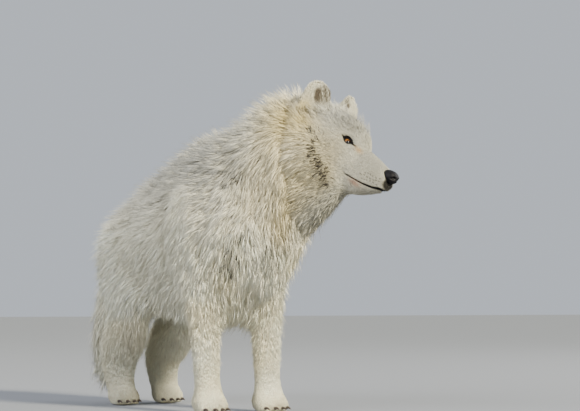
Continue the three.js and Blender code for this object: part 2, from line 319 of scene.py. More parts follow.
# facets are rounded off, less on the face, ears and feet
local = to_head(surface.points)
jowl = 0.05 * step(-local[:, 2], -0.02, 0.03)
on_face = share("head") * step(-local[:, 1], jowl - 0.2, jowl - 0.13)
paws = share("fore_paw") + share("hind_paw")
firm = np.clip(on_face * 0.8 + share("ear") * 0.85 + paws * 0.7, 0, 0.95)
tips = surface.smooth(surface.points, 70, 0.5 * (1 - firm) ** 1.6)
crease = share("neck") * (6 * share("head") + 4 * share("trunk"))
crease = surface.smooth(np.clip(crease, 0, 1) * (1 - firm), 80)
tips = surface.smooth(tips, 240, 0.5 * np.clip(2.2 * crease * (1 - firm), 0, 1))
tips[:, 2] = np.maximum(tips[:, 2], surface.points[:, 2].min())

# ---- how deep the coat is ----
DEPTH = {
    "trunk": 0.030, "neck": 0.034, "ear": 0.0012, "tail": 0.026,
    "fore_upper": 0.019, "fore_paw": 0.004, "hind_upper": 0.025, "hind_paw": 0.004,
}
SOLE_DEPTH = 0.0004


def cheek_share(q):
    """1 on the long fur of the cheeks and the throat, 0 on the rest of the face."""
    cheek = step(np.abs(q[:, 0]), 0.035, 0.095) * step(q[:, 1], 0.09, 0.22)
    cheek = cheek * step(-q[:, 2], -0.05, 0.03)
    throat = step(-q[:, 2], 0.035, 0.095) * step(q[:, 1], 0.06, 0.18)
    return np.maximum(cheek, throat)


def head_depth(q):
    """The coat's depth on the head: least on the face, most on the cheeks and the nape."""
    crown = step(q[:, 2], 0.045, 0.070) * step(q[:, 1], 0.09, 0.13)
    back = np.maximum(step(q[:, 1], 0.13, 0.25), 0.45 * crown)
    return 0.0036 + np.maximum(0.016 * back, 0.019 * cheek_share(q))


def leg_share(points):
    """0 at the foot, 1 where the lower leg meets the upper one: for the fore and the hind legs."""
    z = points[:, 2]
    return {"fore_lower": step(z, 0.05, 0.30), "hind_lower": step(z, 0.05, 0.25)}


def by_group(points, table, values):
    """A value for each point from the values of the body's groups, without the head's.

    A lower leg's value runs from the paw's to the upper leg's.
    """
    found = sum(share(name, table) * value for name, value in values.items())
    for name, high in leg_share(points).items():
        foot, top = (values[name.replace("lower", end)] for end in ("paw", "upper"))
        found = found + share(name, table) * (foot + high * (top - foot))
    return found


def coat_depth(points, table, normals):
    depth = by_group(points, table, DEPTH) + share("head", table) * head_depth(to_head(points))
    paw = share("fore_paw", table) + share("hind_paw", table)
    sole = step(-normals[:, 2], 0.3, 0.8) * step(-points[:, 2], -0.02, -0.004) * (paw > 0.3)
    return depth * (1 - sole) + SOLE_DEPTH * sole


def thickness(points, normals, faces, gap=0.0008, far=0.2):
    """How far it is from each point through the body to the other side."""
    tree = BVHTree.FromPolygons(points.tolist(), faces.tolist())
    starts = points - normals * gap
    hits = [tree.ray_cast(Vector(v), Vector(-n)) for v, n in zip(starts, normals)]
    return np.array([far if hit[3] is None else hit[3] for hit in hits])


tip_normals = surface.normals(surface.smooth(tips, 2))
depth = surface.smooth(coat_depth(tips, weights, tip_normals), 6)
room = surface.smooth(thickness(tips, tip_normals, surface.tris), 2)
depth = surface.smooth(np.minimum(depth, MAX_DEPTH * room), 3)
skin_points = tips.copy()
for _ in range(SINK_STEPS):
    normal = surface.normals(surface.smooth(skin_points, 2))
    skin_points = skin_points - normal * (depth / SINK_STEPS)[:, None]
    skin_points = surface.smooth(skin_points, 1, 0.5 * (1 - firm))

# ---- the face gets a finer mesh ----
grown.vertices.foreach_set("co", skin_points.astype(np.float32).ravel())
cage = bmesh.new()
cage.from_mesh(grown)
tip_layers = [cage.verts.layers.float.new(f"tip{i}") for i in range(3)]
weight_layers = [cage.verts.layers.float.new(f"group{i}") for i in range(len(GROUPS))]
cage.verts.ensure_lookup_table()
for i, v in enumerate(cage.verts):
    for axis in range(3):
        v[tip_layers[axis]] = tips[i, axis]
    for g in range(len(GROUPS)):
        v[weight_layers[g]] = weights[i, g]


def refine(near):
    """Halves the edges for which near(points in the head's frame) holds at both ends."""
    cage.verts.index_update()
    points = np.array([v.co for v in cage.verts])
    chosen = near(to_head(points))
    edges = [e for e in cage.edges if chosen[e.verts[0].index] and chosen[e.verts[1].index]]
    bmesh.ops.subdivide_edges(cage, edges=edges, cuts=1, use_grid_fill=True)
    big = [f for f in cage.faces if len(f.verts) > 4]
    bmesh.ops.triangulate(cage, faces=big)


LID_AXIS = unit(np.array([0.80, -0.52, 0.30]))
EYE_GUESS = np.array([0.047, 0.128, 0.0372])


def on_muzzle_and_brow(q):
    near_middle = (np.abs(q[:, 0]) < 0.08) & (np.abs(q[:, 2]) < 0.08)
    return near_middle & (q[:, 1] > -0.02) & (q[:, 1] < 0.155)


def on_eyes_lips_and_nose(q):
    eyes = np.linalg.norm(one_side(q) - EYE_GUESS, axis=1) < 0.025
    lips = (q[:, 1] < 0.12) & (np.abs(q[:, 2] - MOUTH_LEVEL) < 0.011)
    return eyes | lips | (q[:, 1] < 0.028)


refine(on_muzzle_and_brow)
refine(on_eyes_lips_and_nose)
skin_mesh = bpy.data.meshes.new("skin")
cage.to_mesh(skin_mesh)
cage.free()


def take(mesh, name):
    """Takes a value of each point off a mesh."""
    values = numbers(mesh.attributes[name].data, "value", 1)[:, 0].astype(float)
    mesh.attributes.remove(mesh.attributes[name])
    return values


tips = np.stack([take(skin_mesh, f"tip{i}") for i in range(3)], 1)
weights = np.stack([take(skin_mesh, f"group{i}") for i in range(len(GROUPS))], 1)
surface = Surface(skin_mesh)
skin_points = surface.points
local = to_head(skin_points)
on_face = share("head") * step(-local[:, 1], -0.19, -0.15)
skin_points = surface.smooth(skin_points, 4, 0.5 * on_face)

# ---- eyes: where they sit, and the lids that close round them ----
face_tree = BVHTree.FromPolygons(skin_points.tolist(), surface.tris.tolist())
EYES = {}
for side, sign in (("right", -1), ("left", 1)):
    mirror = np.array([sign, 1, 1])
    axis = LID_AXIS * mirror
    start = from_head(EYE_GUESS * mirror + axis * 0.05)
    hit = face_tree.ray_cast(Vector(start), Vector(-(HEAD @ axis)))[0]
    centre = to_head(np.array(hit)) - axis * (EYE_RADIUS - EYE_OUT)
    inward = unit(np.array([-sign * 0.42, -0.86, -0.22]))  # from the outer corner to the inner one
    inward = unit(inward - axis * (inward @ axis))
    over = np.cross(inward, axis)
    over = over if over[2] > 0 else -over
    EYES[side] = dict(sign=sign, centre=centre, axis=axis, inward=inward, over=over)


def lid_edge(t):
    """Height of the upper and the lower lid at a place along the eye, from -1 to 1."""
    arch = np.maximum(1 - t * t, 0)
    return LID_UP * arch ** 0.75 * (1 - 0.12 * t), LID_DOWN * arch ** 0.85 * (1 + 0.1 * t)


def lid_place(eye, q):
    """How far points in the head's frame are outside the opening between the lids."""
    d = q - eye["centre"]
    along, across, rise = d @ eye["axis"], d @ eye["inward"], d @ eye["over"]
    t = across / LID_HALF
    up, down = lid_edge(np.clip(t, -1, 1))
    inside = np.where(rise > 0, rise - up, -rise - down)
    beyond = np.hypot(np.maximum(np.abs(across) - LID_HALF, 0), np.maximum(inside, 0))
    outside = np.where(np.abs(t) < 1, inside, beyond)
    return outside, along, across, rise


q = to_head(skin_points)
for eye in EYES.values():
    d = q - eye["centre"]
    far = np.linalg.norm(d, axis=1)
    outside, along, across, rise = lid_place(eye, q)
    near = (along > -0.002) & (far < LID_REACH)
    way = unit(d)
    lid = EYE_RADIUS + LID_THICK + 0.0006 * bell(outside - 0.0022, 0.0012)
    shell = np.where(outside < -0.0004, EYE_RADIUS - 0.0028, lid)
    pull = near * (1 - step(outside, 0.002, 0.011))
    brow = near * (rise > 0) * bell(outside - 0.009, 0.0045) * 0.0016
    fold = near * bell(outside - 0.0052, 0.0011) * 0.0007
    radius = far * (1 - pull) + shell * pull + brow - fold
    q = np.where(near[:, None], eye["centre"] + way * radius[:, None], q)


def tear_line(across, rise):
    """1 on the dark line that runs from the inner corner of the eye, 0 off it."""
    beyond = across - LID_HALF
    off = np.abs(rise + 0.0014 + 0.17 * beyond)
    line = 1 - step(off, 0.0022 - 0.05 * beyond, 0.0038 - 0.08 * beyond)
    return line * step(beyond, -0.004, -0.001) * (1 - step(beyond, 0.010, 0.016))


# ---- mouth: a groove between the lips ----
def mouth_height(y):
    return MOUTH_LEVEL + 0.007 * step(y, 0.055, 0.118) + 0.003 * step(-y, -0.045, -0.02)


def mouth_fade(y):
    return step(-y, -MOUTH_CORNER - 0.002, -MOUTH_CORNER + 0.008) * step(y, 0.004, 0.012)


height = q[:, 2] - mouth_height(q[:, 1])
fade = mouth_fade(q[:, 1]) * (share("head") > ON_HEAD)
way = to_head(NOSE_TIP + surface.normals(from_head(q)))
upper_lip = 0.0014 * bell(height - 0.0045, 0.003)
lower_lip = 0.0005 * bell(height + 0.004, 0.002)
groove = 0.0026 * bell(height, 0.0014) - upper_lip - lower_lip
q = q - way * (groove * fade)[:, None]
# a cleft in the lip's front, under the nose
cleft = 0.0018 * bell(q[:, 0], 0.0013) * step(-q[:, 1], -0.02, -0.012)
cleft = cleft * step(-q[:, 2], 0.018, 0.022) * step(q[:, 2], -0.044, -0.04)
q = q + cleft[:, None] * np.array([0, 1, 0])
skin_points = from_head(q)
skin_mesh.vertices.foreach_set("co", skin_points.astype(np.float32).ravel())
skin_mesh.polygons.foreach_set("use_smooth", np.ones(len(skin_mesh.polygons), bool))
skin_normals = surface.normals(skin_points)

# ---- markings and painted shade, shared by skin and coat ----
CREAM = srgb(250, 244, 219)
YELLOW = srgb(232, 211, 146)
GREY = srgb(222, 220, 210)
DARK = srgb(16, 13, 12)
RUST = srgb(182, 148, 96)
PINK = srgb(164, 124, 100)
EAR_INSIDE = srgb(92, 78, 62)
EAR_GREY = srgb(116, 107, 89)
SHADOW = srgb(36, 30, 26)

# rows of whisker dots: their level, where they start behind the nose tip, and how many
WHISKER_ROWS = ((-0.022, 0.026, 6), (-0.029, 0.024, 7), (-0.036, 0.030, 6))

# where the coat parts: lines in the head's frame, and in the frame under the withers
CHEEK_PARTING = np.array([
    (0.095, 0.231, 0.048), (0.092, 0.209, 0.033), (0.098, 0.184, 0.015), (0.096, 0.168, -0.003),
    (0.096, 0.160, -0.025), (0.088, 0.153, -0.030), (0.081, 0.144, -0.040), (0.072, 0.136, -0.052),
    (0.060, 0.128, -0.061),
])
BODY_PARTINGS = [np.array(line) for line in (
    [(-0.085, -0.375, 0.421), (-0.089, -0.369, 0.394), (-0.090, -0.354, 0.372)],
    [(-0.089, -0.343, 0.352), (-0.086, -0.333, 0.340), (-0.080, -0.327, 0.320)],
    [(-0.011, -0.402, 0.377), (0.003, -0.394, 0.355)],
    [(-0.072, -0.350, 0.560), (-0.080, -0.342, 0.530)],
)]
# the line of the crease at the stifle, darkened with painted shade
STIFLE = np.array([(0.096, 0.080, 0.225), (0.098, 0.098, 0.185), (0.096, 0.117, 0.150)])


def line_distance(points, line):
    """How far points are from a line of straight stretches."""
    best = np.full(len(points), 1.0)
    for a, b in zip(line[:-1], line[1:]):
        t = np.clip(((points - a) @ (b - a)) / ((b - a) @ (b - a)), 0, 1)
        best = np.minimum(best, np.linalg.norm(points - a - t[:, None] * (b - a), axis=1))
    return best


def parting(points):
    """About 1 where the coat parts, 0 away from it."""
    q = one_side(to_head(points))
    strength = 1.15 - 0.35 * step(q[:, 1], 0.14, 0.155) - 0.75 * step(q[:, 1], 0.18, 0.21)
    broken = np.clip(0.7 + waves(q, 0.024, 5), 0, 1.5)
    near = bell(line_distance(q, CHEEK_PARTING), 0.0115) * strength * broken
    for line in BODY_PARTINGS:
        near = np.maximum(near, 0.7 * bell(line_distance(points - ORIGIN, line), 0.008))
    return near


EAR_FOOT = np.array([0.055, 0.260, 0.050])
EAR_TURN = math.radians(22)  # how much more the left ear is turned than the right one
EAR_MIDDLE = np.array([-0.007, -0.037, 0.058])
EAR_FOLD = np.array([(0.011, -0.021, 0.060), (0.007, -0.022, 0.046), (-0.002, -0.027, 0.033)])


def ear_place(q):
    """Points about each ear's foot, both ears laid on the same place and turned the same way."""
    x, y, z = (one_side(q) - EAR_FOOT).T
    turn = np.where(q[:, 0] > 0, EAR_TURN, 0)
    cos, sin = np.cos(turn), np.sin(turn)
    return np.stack([x * cos - y * sin, x * sin + y * cos, z], 1)


def blend(color, other, amount):
    amount = np.clip(amount, 0, 1)[:, None]
    return color * (1 - amount) + other * amount


def shares(table):
    return {name: share(name, table) for name in GROUP_NAMES}


def markings_and_shade(points, table, normals):
    """The coat's colour at points on the skin, in linear light, with painted shade on the back,
    crown, face, ears and stifle and painted light on the upper hind legs.
    """
    q = to_head(points)
    p = points - ORIGIN
    part = shares(table)
    color = np.tile(CREAM, (len(points), 1))
    patchy = 0.5 + 0.5 * waves(points, 0.12, 1)
    body = part["trunk"] + part["neck"]
    # a greyer saddle on the back, which is the coat's colour, and painted shade that darkens the
    # top of the back
    grey_saddle_and_shade = step(p[:, 2], 0.40, 0.57) * step(p[:, 1], -0.42, -0.27) * body
    color = blend(color, GREY, 0.35 * grey_saddle_and_shade * (0.5 + patchy)) * (1 - 0.34 * grey_saddle_and_shade)[:, None]
    chest = part["trunk"] * step(-p[:, 1], 0.2, 0.34) + part["neck"] * step(-p[:, 2], -0.55, -0.42)
    legs = part["fore_lower"] + part["hind_lower"] + part["fore_paw"] + part["hind_paw"]
    color = blend(color, YELLOW, 0.24 * chest * patchy + 0.16 * legs * (0.4 + patchy))
    behind_ear = bell(np.abs(q[:, 0]) - 0.085, 0.035) * bell(q[:, 1] - 0.245, 0.05)
    behind_ear = behind_ear * bell(q[:, 2] - 0.03, 0.05)
    color = blend(color, YELLOW, behind_ear) * (1 - 0.16 * behind_ear)[:, None]
    by_head = (part["head"] + part["neck"]) * (1 - step(q[:, 1], 0.20, 0.34))
    cheek = by_head * step(np.abs(q[:, 0]), 0.03, 0.07) * step(-q[:, 2], -0.06, 0.0)
    color = blend(color, YELLOW, 0.45 * cheek * (0.4 + patchy))
    # a greyer crown, partly the coat's colour and partly painted shade on the top of the head
    crown = part["head"] * step(q[:, 2], 0.03, 0.08) * step(q[:, 1], 0.10, 0.18)
    color = blend(color, GREY, 0.45 * crown)
    inside = part["ear"] * step(-(normals @ HEAD)[:, 1], 0.1, 0.5)
    e = ear_place(q)
    speckled = 1 - step(np.linalg.norm(e - EAR_MIDDLE, axis=1), 0.018, 0.032)
    color = blend(color, EAR_GREY, 0.9 * inside * speckled * (0.8 + 0.4 * waves(points, 0.006, 4)))
    fold = 1 - step(line_distance(e, EAR_FOLD), 0.004, 0.011)
    color = blend(color, EAR_INSIDE, 0.9 * inside * fold)
    foot = inside * (1 - step(e[:, 2], 0.012, 0.034))
    color = blend(color, YELLOW, 0.7 * foot)
    # painted shade in the crease at the stifle
    stifle_shade = bell(line_distance(one_side(p), STIFLE), 0.020)
    color = blend(color, SHADOW, 0.45 * stifle_shade * (0.5 + patchy))
    muzzle = part["head"] * step(-q[:, 1], -0.10, -0.04) * step(q[:, 2], -0.02, 0.01)
    color = blend(color, GREY, 0.25 * muzzle)
    face = part["head"] * (1 - step(q[:, 1], 0.14, 0.22))
    # painted shade darkens the face, crown, ears and the fur by the head, and painted light
    # lightens the upper hind legs
    painted_head_shade = 0.37 * face + 0.12 * crown + 0.42 * part["ear"] + 0.13 * by_head
    color = color * (1 - painted_head_shade + 0.08 * part["hind_upper"])[:, None]
    return face_markings(color, q, part["head"] > ON_HEAD)


def face_markings(color, q, on_head):
    """Adds the dark and the coloured marks of the face, at points in the head's frame."""
    for eye in EYES.values():
        outside, along, across, rise = lid_place(eye, q)
        near = along > 0
        liner = 0.0020 + 0.0015 * step(rise, -0.001, 0.004)
        color = blend(color, DARK, near * (1 - step(outside, liner, liner + 0.0014)))
        color = blend(color, DARK, near * tear_line(across, rise))
        behind = -across - LID_HALF
        outer = (1 - step(np.abs(rise - 0.0012), 0.0008, 0.0024)) * step(behind, -0.002, 0)
        color = blend(color, DARK, near * outer * (1 - step(behind, 0.004, 0.008)))
        rust = bell(across - LID_HALF - 0.022, 0.010) * bell(rise + 0.0055, 0.006)
        color = blend(color, RUST, 0.75 * near * rust)
    height = q[:, 2] - mouth_height(q[:, 1])
    lips = mouth_fade(q[:, 1]) * on_head
    thick = 0.0011 + 0.0007 * step(-q[:, 1], -0.085, -0.035)
    color = blend(color, DARK, lips * (1 - step(np.abs(height + 0.0008), thick, thick + 0.0014)))
    bare = bell(q[:, 1] - 0.082, 0.014) * bell(height + 0.008, 0.0055) * on_head
    color = blend(color, PINK, 0.8 * bare)
    front = np.linalg.norm((q - np.array([0, 0.014, -0.026])) / np.array([1.35, 1.2, 1]), axis=1)
    color = blend(color, DARK, 0.95 * (1 - step(front, 0.0125, 0.0165)) * on_head)
    round_nose = np.linalg.norm((q - NOSE_MIDDLE) / np.array([1, 1, 0.95]), axis=1)
    color = blend(color, DARK, 0.9 * (1 - step(round_nose, 0.0172, 0.0195)) * on_head)
    at_side = (np.abs(q[:, 0]) > 0.012) * on_head
    for row, (level, first, dots) in enumerate(WHISKER_ROWS):
        for i in range(dots):
            y = first + 0.0075 * i + 0.002 * (row % 2) + 0.0016 * math.sin(7 * i + 3 * row)
            z = level + 0.05 * (y - 0.03) + 0.0012 * math.sin(5 * i + 2 * row)
            spot = np.hypot(q[:, 1] - y, q[:, 2] - z) / 0.0014
            color = blend(color, DARK, 0.65 * (1 - step(spot, 0.7, 1.6)) * at_side)
    return color


# ---- shader groups and materials ----
def fill(tree, node, values):
    """Sets a node's inputs, each to a constant value or from another node's output."""
    for label, value in values.items():
        if isinstance(value, bpy.types.NodeSocket):
            tree.links.new(value, node.inputs[label])
        else:
            node.inputs[label].default_value = value
    return node


def add(tree, kind, values=None, **settings):
    node = tree.nodes.new("ShaderNode" + kind)
    for label, value in settings.items():
        setattr(node, label, value)
    return fill(tree, node, values or {})


def object_place(tree):
    return add(tree, "TexCoord").outputs["Object"]


def between(tree, value, low, high):
    """A value of 0 to 1 laid between two others."""
    return add(tree, "MapRange", {"Value": value, "To Min": low, "To Max": high}).outputs["Result"]


def scaled(tree, color, gain):
    node = add(tree, "VectorMath", {0: color, "Scale": gain}, operation="SCALE")
    return node.outputs["Vector"]


def ramp(tree, value, stops):
    """The colour at a value of 0 to 1, from stops of a position and a colour."""
    node = add(tree, "ValToRGB", {"Fac": value})
    while len(node.color_ramp.elements) < len(stops):
        node.color_ramp.elements.new(0.5)
    for element, (at, color) in zip(node.color_ramp.elements, stops):
        element.position = at
        element.color = (*color, 1)
    return node.outputs["Color"]


def bump(tree, height, strength, distance):
    values = {"Height": height, "Strength": strength, "Distance": distance}
    return add(tree, "Bump", values).outputs["Normal"]


def mottle_group():
    """Varies a colour, and gives a fine height and a roughness, in the object's own space."""
    tree = bpy.data.node_groups.new("coat mottle", "ShaderNodeTree")

    def socket(label, way):
        kind = "NodeSocketColor" if label == "Color" else "NodeSocketFloat"
        return tree.interface.new_socket(label, in_out=way, socket_type=kind)

    for label, default in (("Color", (1, 1, 1, 1)), ("Scale", 60.0), ("Amount", 0.2)):
        socket(label, "INPUT").default_value = default
    for label in ("Color", "Height", "Roughness"):
        socket(label, "OUTPUT")
    given = tree.nodes.new("NodeGroupInput").outputs
    place = object_place(tree)
    stretched = add(tree, "Mapping", {"Vector": place, "Scale": (1, 0.7, 0.35)}).outputs["Vector"]
    fibres = {"Vector": stretched, "Scale": given["Scale"], "Detail": 4, "Roughness": 0.6}
    fine = add(tree, "TexNoise", fibres).outputs["Fac"]
    broad = add(tree, "TexNoise", {"Vector": place, "Scale": 9, "Detail": 2}).outputs["Fac"]
    both = add(tree, "Math", {0: fine, 1: broad}, operation="ADD").outputs[0]
    spread = add(tree, "MapRange", {"Value": both, "From Min": 0.6, "From Max": 1.4})
    spread = spread.outputs["Result"]
    least = add(tree, "Math", {0: 1, 1: given["Amount"]}, operation="SUBTRACT").outputs[0]
    fill(tree, tree.nodes.new("NodeGroupOutput"), {
        "Color": scaled(tree, given["Color"], between(tree, spread, least, 1)),
        "Height": fine,
        "Roughness": between(tree, spread, 0.62, 0.88),
    })
    return tree


MOTTLE = mottle_group()


def new_material(name):
    material = bpy.data.materials.new(name)
    material.use_nodes = True
    return material, material.node_tree, material.node_tree.nodes["Principled BSDF"]


def coat_material(name, scale, amount, relief, sheen):
    material, tree, shader = new_material(name)
    color = add(tree, "Attribute", attribute_name="coat_color").outputs["Color"]
    values = {"Color": color, "Scale": scale, "Amount": amount}
    mottle = add(tree, "Group", values, node_tree=MOTTLE)
    fill(tree, shader, {
        "Base Color": mottle.outputs["Color"],
        "Roughness": mottle.outputs["Roughness"],
        "Specular IOR Level": 0.12,
        "Sheen Weight": sheen,
        "Sheen Roughness": 0.5,
    })
    if relief:
        fill(tree, shader, {"Normal": bump(tree, mottle.outputs["Height"], relief, 0.001)})
    return material


skin_material = coat_material("short fur and skin", 420, 0.25, 0.8, 0.02)
tuft_material = coat_material("winter coat", 90, 0.14, 0, 0.05)


def leather_material():
    material, tree, shader = new_material("nose leather")
    place = object_place(tree)
    cells = add(tree, "TexVoronoi", {"Vector": place, "Scale": 620}).outputs["Distance"]
    fine = add(tree, "TexNoise", {"Vector": place, "Scale": 260}).outputs["Fac"]
    fill(tree, shader, {
        "Base Color": ramp(tree, fine, [(0, (0.003, 0.003, 0.004)), (1, (0.012, 0.011, 0.012))]),
        "Roughness": between(tree, fine, 0.30, 0.50),
        "Normal": bump(tree, cells, 0.5, 0.0006),
        "Specular IOR Level": 0.07,
    })
    return material


def horn_material():
    material, tree, shader = new_material("claw horn")
    grain = add(tree, "TexNoise", {"Vector": object_place(tree), "Scale": 300}).outputs["Fac"]
    fill(tree, shader, {
        "Base Color": ramp(tree, grain, [(0, (0.012, 0.009, 0.008)), (1, (0.085, 0.060, 0.045))]),
        "Roughness": between(tree, grain, 0.3, 0.5),
    })
    return material


def eye_material():
    """Pupil, iris and white, by the angle off the line of sight that the mesh holds."""
    material, tree, shader = new_material("eye")
    angle = add(tree, "Attribute", attribute_name="off_axis").outputs["Fac"]
    color = ramp(tree, angle, [
        (0.00, (0.002, 0.002, 0.002)), (0.22, (0.002, 0.002, 0.002)), (0.25, (0.12, 0.048, 0.009)),
        (0.38, (0.18, 0.074, 0.012)), (0.50, (0.09, 0.038, 0.009)), (0.56, (0.006, 0.004, 0.003)),
        (0.66, (0.030, 0.018, 0.014)), (1.00, (0.12, 0.08, 0.065)),
    ])
    streaks = add(tree, "TexNoise", {"Vector": object_place(tree), "Scale": 900}).outputs["Fac"]
    fill(tree, shader, {
        "Base Color": scaled(tree, color, between(tree, streaks, 0.7, 1.3)),
        "Roughness": 0.14,
        "Specular IOR Level": 0.3,
        "Coat Weight": 0.10,
        "Coat Roughness": 0.02,
    })
    return material


leather = leather_material()
horn = horn_material()
eye_glass = eye_material()

# ---- skin ----
set_colors(skin_mesh, SKIN_TONE * markings_and_shade(skin_points, weights, skin_normals))
skin = make_object("skin", skin_mesh, skin_material, "coat", *FLESH)
bpy.context.view_layer.objects.active = skin
skin.select_set(True)
bpy.ops.object.mode_set(mode="EDIT")
bpy.ops.mesh.select_all(action="SELECT")
bpy.ops.uv.smart_project(angle_limit=math.radians(75), island_margin=0.0, area_weight=0.0)
bpy.ops.object.mode_set(mode="OBJECT")
skin.data.uv_layers[0].name = "OFBake"
skin.select_set(False)

# ---- where the tufts grow ----
tri_verts = triangles(skin_mesh)
tri_loops = triangles(skin_mesh, "loops")
uv = numbers(skin_mesh.uv_layers["OFBake"].data, "uv", 2)

# tufts for each square centimetre of skin, and each tuft's length and width in millimetres
COAT = {
    "trunk": (15, 52, 1.6), "neck": (16, 54, 1.55), "ear": (44, 8, 1.1), "tail": (15, 56, 1.9),
    "fore_upper": (23, 38, 1.35), "fore_paw": (36, 9, 1.1),
    "hind_upper": (17, 46, 1.8), "hind_paw": (36, 9, 1.1),
}
HEAD_COAT = ((60, 5.5, 0.85), (44, 13, 1.0), (20, 44, 1.6))  # at the nose, the brow and the nape


def coat_value(points, table, column):
    values = by_group(points, table, {name: row[column] for name, row in COAT.items()})
    y = to_head(points)[:, 1]
    at_nose, at_brow, at_nape = (row[column] for row in HEAD_COAT)
    ruff = np.maximum(step(y, 0.15, 0.25), cheek_share(to_head(points)))
    head = at_nose + (at_brow - at_nose) * step(y, 0.05, 0.14) + (at_nape - at_brow) * ruff
    return values + share("head", table) * head


density = coat_value(skin_points, weights, 0)
q = to_head(skin_points)
for eye in EYES.values():
    outside, along, across, rise = lid_place(eye, q)
    density = density * np.where((along > 0) & (outside < 0.0024), 0, 1)
    density = density * (1 - 0.9 * (along > 0) * tear_line(across, rise))
lip = np.abs(q[:, 2] - mouth_height(q[:, 1]) + 0.0006) < 0.0026
lip = lip & (mouth_fade(q[:, 1]) > 0.5) & (share("head") > ON_HEAD)
at_nose = np.linalg.norm(q - NOSE_MIDDLE, axis=1) < 0.0175
sole = (skin_points[:, 2] < 0.004) & (skin_normals[:, 2] < -0.6)
density = density * np.where(lip | at_nose | sole, 0, 1)

a, b, c = (skin_points[tri_verts[:, i]] for i in range(3))
area = np.linalg.norm(np.cross(b - a, c - a), axis=1) / 2
wanted = area * 1e4 * density[tri_verts].mean(1)
count = int(TUFTS * (1))
total = np.cumsum(wanted)
picks = (np.arange(count) + rng.uniform(0, 1, count)) / count * total[-1]
tri = np.minimum(np.searchsorted(total, picks), len(total) - 1)
r1, r2 = np.sqrt(rng.uniform(size=count)), rng.uniform(size=count)
bary = np.stack([1 - r1, r1 * (1 - r2), r1 * r2], 1)[..., None]


def at_roots(values):
    return (values[tri_verts[tri]] * bary).sum(1)


root = at_roots(skin_points)
normal = unit(at_roots(skin_normals))
tip_at = at_roots(tips)
group = at_roots(weights)
root_uv = (uv[tri_loops[tri]] * bary).sum(1)
height = np.clip(((tip_at - root) * normal).sum(1), 0.001, 0.06)
length = coat_value(root, group, 1) / 1000
by_eye = np.zeros(count)
for eye in EYES.values():
    outside, along, _, _ = lid_place(eye, to_head(root))
    by_eye = np.maximum(by_eye, (along > -0.004) * (1 - step(outside, 0.003, 0.024)))
length = length * (1 - 0.68 * by_eye)
height = height * (1 - 0.5 * by_eye)
width = coat_value(root, group, 2) / 1000

# ---- which way the coat lies ----
part = shares(group)
p = root - ORIGIN
q = to_head(root)
outward = np.sign(q[:, 0])


def rows(*columns):
    return np.stack([np.broadcast_to(column, count) for column in columns], 1).astype(float)


def slope(degrees):
    """A way that runs back along the body and falls by that angle."""
    angle = np.radians(degrees)
    return rows(0, np.cos(angle), -np.sin(angle))


below = 1 - step(p[:, 2], 0.38, 0.60)
chest = step(-p[:, 1], 0.16, 0.38) * (1 - step(p[:, 2], 0.50, 0.64))
flow = {
    "trunk": slope(20 + 30 * below + 38 * chest),
    "neck": slope(20 + 62 * (1 - step(p[:, 2], 0.52, 0.68))),
    "tail": slope(78),
    "fore_upper": slope(72),
    "fore_lower": slope(84),
    "fore_paw": rows(0, -0.7, -0.7),
    "hind_upper": slope(46 + 32 * (1 - step(p[:, 2], 0.22, 0.42))),
    "hind_lower": slope(80),
    "hind_paw": rows(0, -0.7, -0.7),
}
side_way = step(np.abs(q[:, 0]), 0.02, 0.09)
low = step(-q[:, 2], -0.03, 0.05)
head_way = rows(outward * 0.35 * side_way, 1, 0.25 - 1.7 * low * step(q[:, 1], 0.08, 0.2))
flow["head"] = head_way @ HEAD.T
flow["ear"] = rows(outward * 0.25, 0.15, 1) @ HEAD.T
way = sum(part[name][:, None] * unit(flow[name]) for name in GROUP_NAMES)
swirl = 0.22 * waves(root, 0.15, 2) + 0.12 * waves(root, 0.05, 3)
legs = sum(part[name] for name in GROUP_NAMES if name.startswith(("fore", "hind")))
swirl = swirl * (1 - 0.6 * part["head"] - 0.6 * legs)
way = unit(way + swirl[:, None] * np.cross(normal, way))
way = unit(way - normal * (way * normal).sum(1)[:, None])

# ---- locks: neighbouring tufts share a direction and close towards their tip ----
lock_count = count // LOCK_TUFTS
chosen = rng.choice(count, lock_count, replace=False)
tree = KDTree(lock_count)
for i, index in enumerate(chosen):
    tree.insert(root[index], i)
tree.balance()
lock = np.array([tree.find(v)[1] for v in root.tolist()])
lock_turn = rng.normal(0, LOCK_SPREAD["turn"], lock_count)[lock]
lock_long = rng.normal(1, LOCK_SPREAD["length"], lock_count)[lock]
lock_lift = rng.normal(1, LOCK_SPREAD["rise"], lock_count)[lock]
lock_stand = rng.uniform(size=lock_count)[lock] ** 3  # a few locks stand out of the rest
long_coat = step(height, 0.004, 0.014)
turn = (lock_turn + rng.normal(0, TUFT_SPREAD["turn"], count)) * (0.5 + 0.5 * long_coat)
way = unit(way + turn[:, None] * np.cross(normal, way))

# ---- kinds of tufts: ones painted dark as shadow at the partings, undercoat, guard hairs, and the rest ----
shin = part["fore_lower"] + part["hind_lower"] + part["fore_upper"]
# tufts near the partings, to be coloured dark as painted shadow
shadow_stroke = rng.uniform(size=count) < PARTING_SHADOW_TUFTS * parting(tip_at)
way = unit(way + (shadow_stroke * rng.normal(0, 0.9, count))[:, None] * np.cross(normal, way))
under = rng.uniform(size=count) < UNDERCOAT
under = under & (height > 0.008) & ~shadow_stroke
nape_top = part["neck"] * step(normal[:, 2], 0.3, 0.8)
hackles = step(p[:, 2], 0.56, 0.62) * step(-p[:, 1], 0.02, 0.10) * part["trunk"]
hackles = hackles + 0.5 * nape_top
rise = height * np.clip(lock_lift * rng.normal(0.96, TUFT_SPREAD["rise"], count), 0.6, 1.2)
rise = rise * (1 + 0.25 * hackles)
spine = (part["trunk"] + part["neck"] + part["hind_upper"]) * step(normal[:, 2], -0.2, 0.5)
rise = rise * (1 + (0.18 + 0.80 * spine) * lock_stand * (1 - part["head"]) * (1 - shin))
rise = np.where(under, rise * 0.62, rise)
